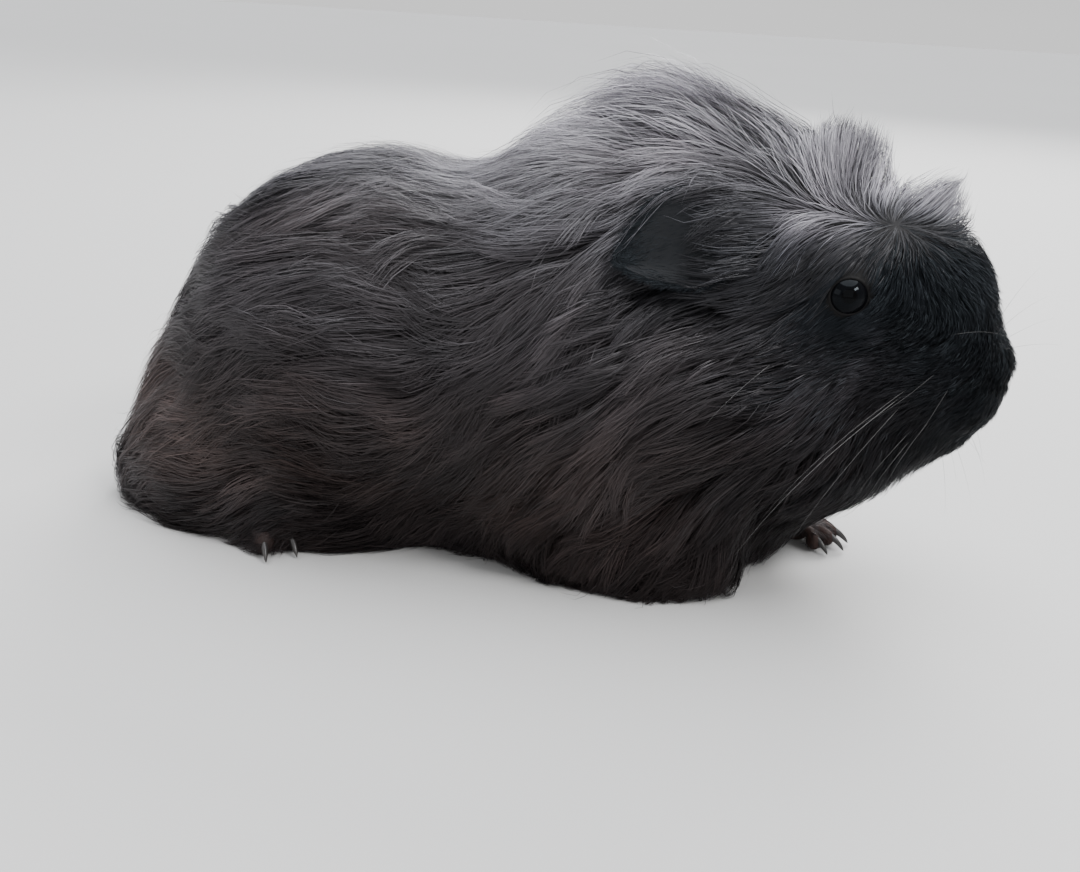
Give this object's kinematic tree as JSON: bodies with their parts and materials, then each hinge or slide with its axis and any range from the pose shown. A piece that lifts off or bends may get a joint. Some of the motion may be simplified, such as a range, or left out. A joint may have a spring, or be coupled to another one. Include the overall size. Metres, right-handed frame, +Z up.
{
  "type": "guinea pig model",
  "caption": "Life-size still model of a long-coated guinea pig resting on its feet, head raised, with a high mane, swept crest and drooping ears, solid out to the coat's tips.",
  "frame": {"origin": "middle of the bounding box in plan, on the floor under the soles", "axes": "+X towards the nose along the trunk, +Y to the animal's left, +Z up"},
  "size_m": [0.2272, 0.1006, 0.1215],
  "materials": {
    "coat": "long silky black hair with a grey sheen",
    "ear_skin": "smooth, nearly bare black skin",
    "nose_skin": "short-haired black skin",
    "foot_skin": "short-haired brown-black skin with bare soles",
    "eye": "wet gloss",
    "claw": "smooth horn"
  },
  "bodies": {
    "root": {"chest": "coat", "ear_l": "ear_skin", "ear_r": "ear_skin", "eye_l": "eye", "eye_r": "eye", "fore_paw_claw_l1": "claw", "fore_paw_claw_l2": "claw", "fore_paw_claw_l3": "claw", "fore_paw_claw_l4": "claw", "fore_paw_claw_r1": "claw", "fore_paw_claw_r2": "claw", "fore_paw_claw_r3": "claw", "fore_paw_claw_r4": "claw", "fore_paw_l": "foot_skin", "fore_paw_r": "foot_skin", "foreleg_l": "coat", "foreleg_r": "coat", "head": "coat", "hind_foot_claw_l1": "claw", "hind_foot_claw_l2": "claw", "hind_foot_claw_l3": "claw", "hind_foot_claw_r1": "claw", "hind_foot_claw_r2": "claw", "hind_foot_claw_r3": "claw", "hind_foot_l": "foot_skin", "hind_foot_r": "foot_skin", "lower_jaw": "coat", "muzzle": "coat", "neck": "coat", "nose": "nose_skin", "rump": "coat", "thigh_l": "coat", "thigh_r": "coat", "trunk": "coat"}
  },
  "joints": []
}
